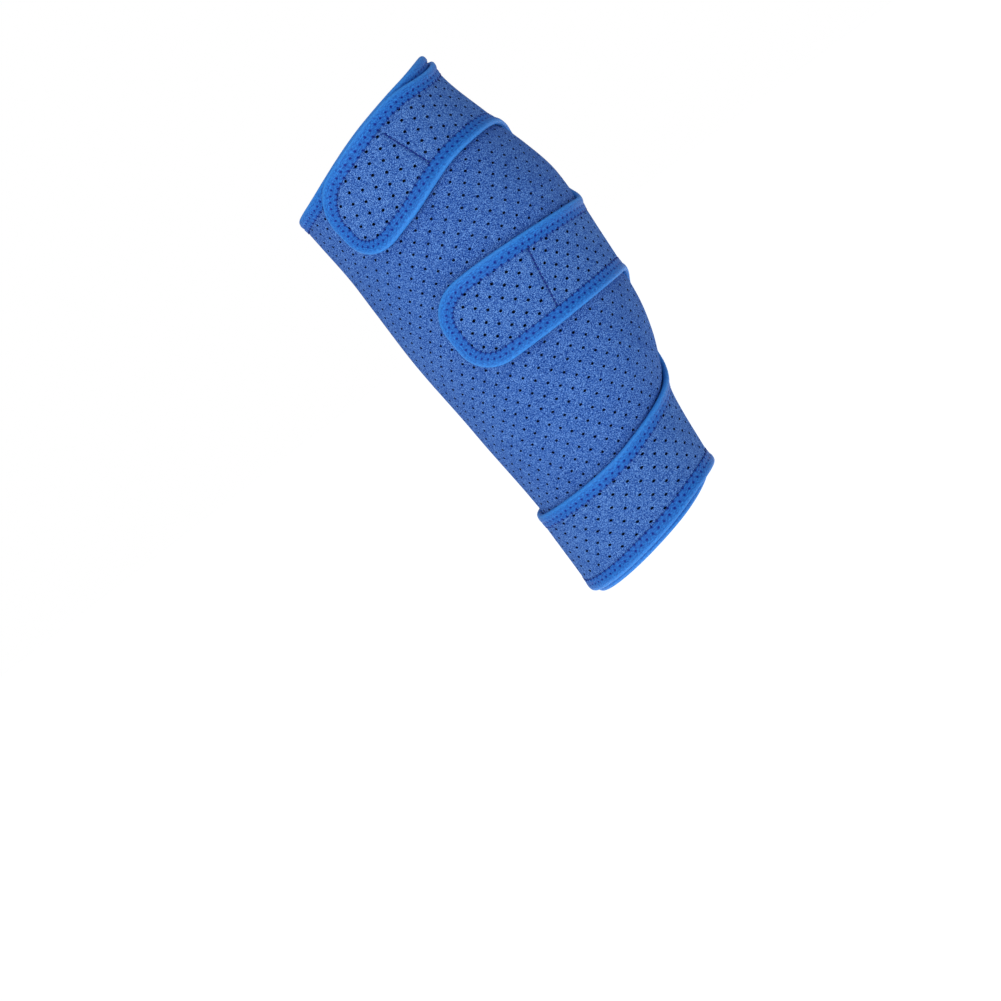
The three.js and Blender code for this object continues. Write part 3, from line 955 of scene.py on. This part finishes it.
# %% Lattice points
HOLE_ROUND = 1.85
HOLE_ALONG = 1.5
HOLE_SIDES = 10
EDGE_MARGIN = 6.6
FRONT_ANGLE = 5.0
SHEAR_REACH = 70.0
SHEET_BELOW = -20.0
SHEET_ABOVE = SLEEVE_HEIGHT + 30.0
TURNS_BEYOND = 60.0
END_MARGIN = 3.0
HALVINGS = 26
LATTICE_REACH = 1.1
# by piece: slant in degrees, spacing in mm, the first hole's place in mm, and the holes'
# size round the leg and along it, as shares of the usual hole
LATTICES = {
    "wrap_panel": (-46.8, 6.95, (3.48, 5.22), 1.0, 1.0),
    "lower_strap": (-37.0, 7.35, (0.0, 0.0), 1.25, 1.0),
    "middle_strap": (-42.5, 6.7, (0.0, 0.0), 1.1, 1.12),
    "top_strap": (-29.5, 6.8, (0.0, 0.0), 1.1, 1.12),
}


def sheet_scale(flat, level):
    """Millimetres per degree in the middle of a sheet, which lies outside the leg's form."""
    _, reach = leg_reach(level)
    height = NEOPRENE / 2 + (0.0 if flat.strap is None else LAYER_LIFT)
    return mm_per_degree(level) * (1 + height / reach)


def flat_place(flat, turn, level):
    """Way round the leg in millimetres, from the line that faces the camera."""
    rounds = 0.0 if flat.strap is None else 360.0
    away = FIRST_EDGE_ANGLE + rounds - FRONT_ANGLE - turn
    usual = sheet_scale(flat, flat.level)
    shear = SHEAR_REACH * np.tanh(away / SHEAR_REACH)
    return away * usual + (sheet_scale(flat, level) - usual) * shear


def lattice_points(flat):
    """Turns and levels of a sheet's holes, clear of its tape and its seam."""
    degrees, spacing, first, *_ = LATTICES[flat.name]
    slant = math.radians(degrees)
    row = spacing * np.array([math.cos(slant), math.sin(slant)])
    column = np.array([-row[1], row[0]])
    reach = int(LATTICE_REACH * SECOND_EDGE * panel_scale / spacing)
    steps = np.arange(-reach, reach + 1)
    i, j = np.meshgrid(steps, steps)
    x = (i * row[0] + j * column[0]).ravel() + first[0]
    level = (i * row[1] + j * column[1]).ravel() + first[1] + SLEEVE_HEIGHT / 2
    near = (level > SHEET_BELOW) & (level < SHEET_ABOVE)
    x = x[near]
    level = level[near]
    # the way round is turned back into a turn by halving the interval
    low_turn = np.full(len(x), flat.start - TURNS_BEYOND)
    high_turn = np.full(len(x), flat.end + TURNS_BEYOND)
    for _ in range(HALVINGS):
        guess = (low_turn + high_turn) / 2
        too_far = flat_place(flat, guess, level) > x
        low_turn = np.where(too_far, guess, low_turn)
        high_turn = np.where(too_far, high_turn, guess)
    turn = (low_turn + high_turn) / 2
    end_turns = END_MARGIN / flat.scale
    inside = (turn > flat.start + end_turns) & (turn < flat.end - end_turns)
    turn = turn[inside]
    level = level[inside]
    fits = (level > flat.lower(turn) + EDGE_MARGIN) & (level < flat.upper(turn) - EDGE_MARGIN)
    turn = turn[fits]
    level = level[fits]
    clear = distance_to_outline(turn, level) > EDGE_MARGIN
    clear &= from_seam(flat, turn, level) > HOLE_ROUND
    return turn[clear], level[clear]


def lattice_object(flat):
    turn, level = lattice_points(flat)
    middle = lift(turn, flat.strap) + NEOPRENE / 2
    points = on_leg(turn, level, middle)
    mesh = bpy.data.meshes.new(flat.name + "_lattice")
    mesh.from_pydata((points * MM).tolist(), [], [])
    ways = {"out": outward(turn, level), "round_leg": way_round(turn, level)}
    for name, vectors in ways.items():
        stored = mesh.attributes.new(name, "FLOAT_VECTOR", "POINT")
        stored.data.foreach_set("vector", vectors.astype(np.float32).ravel())
    item = bpy.data.objects.new(flat.name + "_lattice", mesh)
    bpy.context.collection.objects.link(item)
    return item


# %% The punching tree
def new_tree(name, sockets):
    """A Geometry Nodes tree with named inputs: the tree, its input node and its output node."""
    tree = bpy.data.node_groups.new(name, "GeometryNodeTree")
    tree.interface.new_socket("Geometry", in_out="INPUT", socket_type="NodeSocketGeometry")
    for label, kind, value in sockets:
        socket = tree.interface.new_socket(label, in_out="INPUT", socket_type=kind)
        if value is not None:
            socket.default_value = value
    tree.interface.new_socket("Geometry", in_out="OUTPUT", socket_type="NodeSocketGeometry")
    return tree, tree.nodes.new("NodeGroupInput"), tree.nodes.new("NodeGroupOutput")


def turned_by(tree, out, beside):
    """A rotation that points Z and X along two directions stored on the points."""
    stored = [
        add_node(tree, "GeometryNodeInputNamedAttribute", {"Name": name},
                 data_type="FLOAT_VECTOR").outputs["Attribute"]
        for name in (out, beside)
    ]
    turned = add_node(tree, "FunctionNodeAxesToRotation", {
        "Primary Axis": stored[0], "Secondary Axis": stored[1]})
    return turned.outputs["Rotation"]


def punch_tree():
    tree, given, result = new_tree("punch", [
        ("Lattice", "NodeSocketObject", None),
        ("Hole Round", "NodeSocketFloat", HOLE_ROUND * MM),
        ("Hole Along", "NodeSocketFloat", HOLE_ALONG * MM),
        ("Punch Length", "NodeSocketFloat", 3 * NEOPRENE * MM),
        ("Sides", "NodeSocketInt", HOLE_SIDES),
        ("Wall", "NodeSocketMaterial", None),
    ])
    lattice = add_node(tree, "GeometryNodeObjectInfo", {"Object": given.outputs["Lattice"]})
    punch = add_node(tree, "GeometryNodeMeshCylinder", {
        "Vertices": given.outputs["Sides"], "Radius": 0.5, "Depth": 1.0})
    size = add_node(tree, "ShaderNodeCombineXYZ", {
        "X": given.outputs["Hole Round"], "Y": given.outputs["Hole Along"],
        "Z": given.outputs["Punch Length"]})
    placed = add_node(tree, "GeometryNodeInstanceOnPoints", {
        "Points": lattice.outputs["Geometry"], "Instance": punch.outputs["Mesh"],
        "Rotation": turned_by(tree, "out", "round_leg"), "Scale": size.outputs["Vector"]})
    punches = add_node(tree, "GeometryNodeRealizeInstances", {
        "Geometry": placed.outputs["Instances"]})
    marked = add_node(tree, "GeometryNodeStoreNamedAttribute", {
        "Geometry": punches.outputs["Geometry"], "Name": "wall", "Value": True},
        data_type="BOOLEAN", domain="FACE")
    cut = add_node(tree, "GeometryNodeMeshBoolean", {
        "Mesh 1": given.outputs["Geometry"], "Mesh 2": marked.outputs["Geometry"]},
        operation="DIFFERENCE", solver="MANIFOLD")
    realized = add_node(tree, "GeometryNodeRealizeInstances", {"Geometry": cut.outputs["Mesh"]})
    wall = add_node(tree, "GeometryNodeInputNamedAttribute", {"Name": "wall"}, data_type="BOOLEAN")
    lined = add_node(tree, "GeometryNodeSetMaterial", {
        "Geometry": realized.outputs["Geometry"], "Selection": wall.outputs["Attribute"],
        "Material": given.outputs["Wall"]})
    tree.links.new(lined.outputs["Geometry"], result.inputs["Geometry"])
    return tree


def set_input(modifier, label, value):
    """Sets a tree's named input, by the identifier that the modifier knows it by."""
    for socket in modifier.node_group.interface.items_tree:
        if socket.in_out == "INPUT" and socket.name == label:
            modifier[socket.identifier] = value


def bake(item):
    """Replaces an object's mesh by its evaluated one and drops its modifiers."""
    graph = bpy.context.evaluated_depsgraph_get()
    mesh = bpy.data.meshes.new_from_object(item.evaluated_get(graph))
    item.modifiers.clear()
    item.data = mesh
    return mesh


def triangle_count(mesh):
    mesh.calc_loop_triangles()
    return len(mesh.loop_triangles)


SHARP = math.radians(45)
punching = punch_tree()
for flat, item in sheets:
    lattice = lattice_object(flat)
    *_, hole_round, hole_along = LATTICES[flat.name]
    modifier = item.modifiers.new("punch", "NODES")
    modifier.node_group = punching
    set_input(modifier, "Lattice", lattice)
    set_input(modifier, "Wall", foam)
    set_input(modifier, "Hole Round", HOLE_ROUND * hole_round * MM)
    set_input(modifier, "Hole Along", HOLE_ALONG * hole_along * MM)
    mesh = bake(item)
    mesh.set_sharp_from_angle(angle=SHARP)
    print(f"{flat.name}: {len(lattice.data.vertices)} holes, {triangle_count(mesh)} triangles")
    bpy.data.objects.remove(lattice)

panel_mesh = sheets[0][1].data
walls = sum(polygon.material_index == WALL for polygon in panel_mesh.polygons)
print(f"panel: {walls} faces of foam, {len(panel_mesh.materials)} materials")

# %% [markdown]
# ## The binding tape
# The tape is folded over the edge, so its section is a narrow U. The section is swept
# along the route, and every stitch pulls it down where the needle went through: one row
# of bites near the tape's own edge, one row nearer the fold, half a pitch apart. Between
# the fold and the stitches the tape isn't held down, so it stands up in a crown.

# %% Tape section and sweep
TAPE_INSIDE = PINCHED_WALL / 2 + TAPE_SEAT
TAPE_OUTSIDE = TAPE_INSIDE + TAPE_THICKNESS
BITE_DEPTH = 0.6
RIDGE = 0.08
CROWN = 0.38
LIP = 0.2
BITTEN_EDGE = 0.7
RIDGE_START = 1.5
RIDGE_END = 0.8
CROWN_START = 0.8
CROWN_TOP = 1.9
FOLD_ANGLES = (60, 30, 0, -30, -60)


def tape_section():
    """Columns: way in from the edge, height from the middle, and which row it is in."""
    leg = [
        (TAPE_WIDTH, TAPE_INSIDE, ""),
        (TAPE_WIDTH, TAPE_OUTSIDE - LIP, "edge"),
        (TAPE_WIDTH - LIP, TAPE_OUTSIDE, "edge"),
        (TAPE_WIDTH - BITTEN_EDGE, TAPE_OUTSIDE, "edge"),
        (TAPE_WIDTH - RIDGE_START, TAPE_OUTSIDE + RIDGE, "ridge"),
        (FOLD_ROW + RIDGE_END, TAPE_OUTSIDE + RIDGE, "ridge"),
        (FOLD_ROW, TAPE_OUTSIDE - RIDGE, "fold"),
        (FOLD_ROW - CROWN_START, TAPE_OUTSIDE + CROWN * 0.7, ""),
        (FOLD_ROW - CROWN_TOP, TAPE_OUTSIDE + CROWN, ""),
        (FOLD_CENTRE, TAPE_OUTSIDE + CROWN / 3, ""),
    ]
    bend = [math.radians(angle) for angle in FOLD_ANGLES]
    outside = [
        (FOLD_CENTRE - TAPE_OUTSIDE * math.cos(angle), TAPE_OUTSIDE * math.sin(angle), "")
        for angle in bend
    ]
    back_leg = [(way, -height, row) for way, height, row in reversed(leg)]
    inside = [
        (FOLD_CENTRE, -TAPE_INSIDE, ""), (FOLD_CENTRE - TAPE_INSIDE, 0.0, ""),
        (FOLD_CENTRE, TAPE_INSIDE, ""),
    ]
    return leg + outside + back_leg + inside


def tape_place(rings, way, height):
    """Points at a way in from the edge and a height from the middle of the neoprene."""
    turn = edge_turn[rings] + inward_turn[rings] * way
    level = edge_level[rings] + inward_level[rings] * way
    middle = layer_lift(turn, edge_strap[rings]) + NEOPRENE / 2
    return on_leg(turn, level, middle + height)


section = tape_section()
rings = np.arange(ring_count)
phase = rings % STEPS_PER_PITCH
bite = {
    "edge": np.where(phase == 0, BITE_DEPTH, 0.0),
    "fold": np.where(phase == STEPS_PER_PITCH // 2, BITE_DEPTH, 0.0),
    "ridge": np.where(phase % (STEPS_PER_PITCH // 2) == 0, RIDGE, -RIDGE),
    "": np.zeros(ring_count),
}
tape_points = []
for way_in, height, row in section:
    side_sign = math.copysign(1.0, height)
    tape_points.append(tape_place(rings, way_in, height - side_sign * bite[row]))
tape_points = np.stack(tape_points, axis=1)
sides = len(section)
corner = np.arange(ring_count * sides).reshape(ring_count, sides)
ahead_ring = np.roll(corner, -1, axis=0)
ahead_side = np.roll(corner, -1, axis=1)
ahead_both = np.roll(ahead_ring, -1, axis=1)
tape_faces = np.stack([corner, ahead_ring, ahead_both, ahead_side], -1).reshape(-1, 4)
tape = new_object("binding_tape", tape_points.reshape(-1, 3), tape_faces,
                  np.zeros(len(tape_faces)), [tape_cloth])


# %% [markdown]
# The tape's material needs to know where on the tape it is. So each corner of each face
# gets a place on a UV map: the way along the tape, and the way in from the fold.

# %% The tape's pattern
def way_from_fold(way, height):
    """Way in from the start of the fold: round the fold it is the negative length of the bend."""
    if way >= FOLD_CENTRE:
        return way
    bend = math.atan2(FOLD_CENTRE - way, abs(height))
    return FOLD_CENTRE - TAPE_OUTSIDE * bend


along_tape = np.arange(ring_count + 1) * STITCH_PITCH / STEPS_PER_PITCH
across = np.array([way_from_fold(way, height) for way, height, _ in section])
face_ring = np.repeat(np.arange(ring_count), sides)
face_side = np.tile(np.arange(sides), ring_count)
next_side = (face_side + 1) % sides
u = np.stack([along_tape[face_ring], along_tape[face_ring + 1],
              along_tape[face_ring + 1], along_tape[face_ring]], -1)
v = np.stack([across[face_side], across[face_side], across[next_side], across[next_side]], -1)
pattern = tape.data.uv_layers.new(name="pattern")
pattern.data.foreach_set("uv", np.stack([u.ravel(), v.ravel()], -1).astype(np.float32).ravel())
print(f"tape: {ring_count} sections, {triangle_count(tape.data)} triangles")

# %% [markdown]
# ## Stitches
# A stitch is a short thick thread that rises a little between two bites. One Geometry
# Nodes tree lays it on every point of a seam: each point stores which way the stitch
# runs, which way is out, and how long it is. The zigzag holds both legs of the tape. Where
# it goes down beside the tape it draws the pile in. A short thick dark stitch along the
# edge is the thread there, and its darkness is painted shade for the pit. A straight seam
# crosses the two upper straps.

# %% Seams
THREAD = 0.45
SEAM_THREAD = 1.0
NEEDLE_BITE = 1.0
SEAM_POINTS = 60
STITCH_LENGTH = 2.6
STITCH_GAP = 0.1
SEAM_RISE = 0.12
OVERCAST = 0.25


def seam(name, starts, ends, outs):
    """Points halfway along each stitch, which store its direction, outside and length."""
    way = ends - starts
    length = np.linalg.norm(way, axis=1)
    mesh = bpy.data.meshes.new(name)
    mesh.from_pydata(((starts + ends) / 2 * MM).tolist(), [], [])
    for label, vectors in (("runs", way), ("out", outs)):
        stored = mesh.attributes.new(label, "FLOAT_VECTOR", "POINT")
        stored.data.foreach_set("vector", vectors.astype(np.float32).ravel())
    stored = mesh.attributes.new("length", "FLOAT", "POINT")
    stored.data.foreach_set("value", (length * MM).astype(np.float32))
    item = bpy.data.objects.new(name, mesh)
    bpy.context.collection.objects.link(item)
    return item


def stitch_tree():
    tree, given, result = new_tree("stitch", [
        ("Thread", "NodeSocketFloat", THREAD * MM),
        ("Flatness", "NodeSocketFloat", 0.8),
        ("Segments", "NodeSocketInt", 6),
        ("Rings", "NodeSocketInt", 4),
        ("Material", "NodeSocketMaterial", None),
    ])
    ball = add_node(tree, "GeometryNodeMeshUVSphere", {
        "Segments": given.outputs["Segments"], "Rings": given.outputs["Rings"], "Radius": 0.5})
    length = add_node(tree, "GeometryNodeInputNamedAttribute", {
        "Name": "length"}, data_type="FLOAT")
    thin = add_node(tree, "ShaderNodeMath", {
        0: given.outputs["Thread"], 1: given.outputs["Flatness"]}, operation="MULTIPLY")
    size = add_node(tree, "ShaderNodeCombineXYZ", {
        "X": length.outputs["Attribute"], "Y": given.outputs["Thread"], "Z": thin.outputs[0]})
    placed = add_node(tree, "GeometryNodeInstanceOnPoints", {
        "Points": given.outputs["Geometry"], "Instance": ball.outputs["Mesh"],
        "Rotation": turned_by(tree, "out", "runs"), "Scale": size.outputs["Vector"]})
    smooth_ball = add_node(tree, "GeometryNodeSetShadeSmooth", {
        "Geometry": placed.outputs["Instances"]})
    realized = add_node(tree, "GeometryNodeRealizeInstances", {
        "Geometry": smooth_ball.outputs["Geometry"]})
    dyed = add_node(tree, "GeometryNodeSetMaterial", {
        "Geometry": realized.outputs["Geometry"], "Material": given.outputs["Material"]})
    tree.links.new(dyed.outputs["Geometry"], result.inputs["Geometry"])
    return tree


stitching = stitch_tree()


def sew(item, material, thickness):
    """Lays the stitches of a seam and keeps them as a plain mesh."""
    modifier = item.modifiers.new("stitch", "NODES")
    modifier.node_group = stitching
    set_input(modifier, "Thread", thickness * MM)
    set_input(modifier, "Material", material)
    mesh = bake(item)
    print(f"{item.name}: {triangle_count(mesh)} triangles")
    return item


def zigzag(name, sign):
    """The zigzag on one leg of the tape: on its outer face with +1, on its inner with -1."""
    at_edge = np.arange(0, ring_count, STEPS_PER_PITCH)
    at_fold = at_edge + STEPS_PER_PITCH // 2
    top_height = sign * (TAPE_OUTSIDE + SEAM_RISE)
    edge_bites = tape_place(at_edge, TAPE_WIDTH + OVERCAST, top_height - sign * BITE_DEPTH)
    fold_bites = tape_place(at_fold, FOLD_ROW, top_height - sign * BITE_DEPTH / 2)
    starts = np.concatenate([edge_bites, fold_bites])
    ends = np.concatenate([fold_bites, np.roll(edge_bites, -1, axis=0)])
    order = np.concatenate([at_edge, at_fold])
    middle = (TAPE_WIDTH + FOLD_ROW) / 2
    outs = tape_place(order, middle, top_height + sign) - tape_place(order, middle, top_height)
    return sew(seam(name, starts, ends, outs), thread, THREAD)


def needle_bites(name, sign):
    """Thick stitches where the zigzag enters the pile, dark as painted shade for the pit."""
    at_edge = np.arange(0, ring_count, STEPS_PER_PITCH)
    height = sign * (TAPE_OUTSIDE - BITE_DEPTH / 2)
    place = tape_place(at_edge, TAPE_WIDTH + OVERCAST, height)
    run = tape_place((at_edge + 1) % ring_count, TAPE_WIDTH + OVERCAST, height) - place
    run *= NEEDLE_BITE / 2 / np.linalg.norm(run, axis=1, keepdims=True)
    outs = tape_place(at_edge, TAPE_WIDTH + OVERCAST, height + sign) - place
    return sew(seam(name, place - run, place + run, outs), seam_thread, NEEDLE_BITE)


def straight_seam(name, turns, levels, heights):
    """A row of stitches through points of the form, each with a gap after it."""
    points = on_leg(turns, levels, heights)
    higher = on_leg(turns, levels, heights + 1)
    reach = np.linalg.norm(np.diff(points, axis=0), axis=1)
    place = np.concatenate([[0], np.cumsum(reach)])
    starts_at = np.arange(0, place[-1] - STITCH_LENGTH, STITCH_LENGTH + STITCH_GAP)

    def pick(values, at):
        return np.stack([np.interp(at, place, values[:, k]) for k in range(3)], -1)

    starts = pick(points, starts_at)
    ends = pick(points, starts_at + STITCH_LENGTH)
    outs = pick(higher - points, starts_at + STITCH_LENGTH / 2)
    return sew(seam(name, starts, ends, outs), seam_thread, SEAM_THREAD)


seams = [zigzag("zigzag_outside", 1.0), zigzag("zigzag_inside", -1.0)]
# needle bites: thread, made thick and dark as painted shade for the pits beside the tape
seams.append(needle_bites("needle_bites_outside", 1.0))
seams.append(needle_bites("needle_bites_inside", -1.0))
for flat in straps:
    if flat.name not in SEWN_STRAPS:
        continue
    low = float(flat.lower(seam_turn(flat, flat.level - STRAP_WIDTH / 2))) + TAPE_WIDTH
    high = float(flat.upper(seam_turn(flat, flat.level + STRAP_WIDTH / 2))) - TAPE_WIDTH
    levels = np.linspace(low, high, SEAM_POINTS)
    turns = seam_turn(flat, levels)
    face = lift(turns, flat.strap) + NEOPRENE - GROOVE_DEPTH + SEAM_THREAD / 2
    seams.append(straight_seam(flat.name + "_stitches", turns, levels, face))

# %% [markdown]
# ## Hook patches
# A patch of hook tape under each tongue grips the pile. It is a thin flat piece with
# round corners, a little smaller than the tongue, and it shows only from the side.

# %% Hook patches
PATCH_LOW = 3.05
PATCH_INSET = 0.15
PATCH_COLUMNS = 16
PATCH_ROWS = 12


def hook_patch(flat):
    """A thin closed plate between the panel and the strap's end."""
    start = flat.strap["patch_turn"]
    end = flat.end - HOOK_INSET / flat.scale
    turns = np.linspace(start, end, PATCH_COLUMNS)
    low = flat.lower(turns) + HOOK_INSET
    high = flat.upper(turns) - HOOK_INSET
    levels = low[:, None] + np.linspace(0, 1, PATCH_ROWS)[None, :] * (high - low)[:, None]
    columns, rows = levels.shape
    turn = np.repeat(turns, rows)
    level = levels.ravel()
    outer = on_leg(turn, level, lift(turn, flat.strap) - PATCH_INSET)
    inner = on_leg(turn, level, np.full_like(turn, PATCH_LOW))
    faces, _ = shell_faces(columns, rows)
    name = flat.name.replace("strap", "hooks")
    points = np.concatenate([outer, inner])
    return new_object(name, points, faces, np.zeros(len(faces)), [hook])


patches = [(flat, hook_patch(flat)) for flat in straps]
print("patches:", [patch.name for _, patch in patches])

# %% [markdown]
# ## Into the frame
# Each piece rides on the model's one body and stands for the model's own solids. The
# flat cut of the panel and of each strap is measured, and its size printed.

# %% Rides and flat cuts
CUT_STEPS = 800


def flat_cut(flat):
    """Width, length and area of the flat cut, in metres."""
    turns = np.linspace(flat.start, flat.end, CUT_STEPS)
    low = flat.lower(turns)
    high = flat.upper(turns)
    scale = mm_per_degree((low + high) / 2)
    steps = np.diff(turns) * (scale[1:] + scale[:-1]) / 2
    length = steps.sum()
    area = (steps * ((high - low)[1:] + (high - low)[:-1]) / 2).sum()
    width = high.max() - low.min()
    return width * MM, length * MM, area * MM * MM


for flat, item in sheets:
    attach(item, "root")
    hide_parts(flat.name)
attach(tape, "root")
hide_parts("edge_binding")
for piece in seams:
    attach(piece, "root")
for flat, patch in patches:
    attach(patch, "root")
    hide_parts(flat.name.replace("strap", "hook_patch"))
for flat, item in sheets:
    width, length, area = flat_cut(flat)
    print(f"{flat.name}: flat cut {width / MM:.0f} by {length / MM:.0f} mm, {area * 1e4:.0f} cm2")
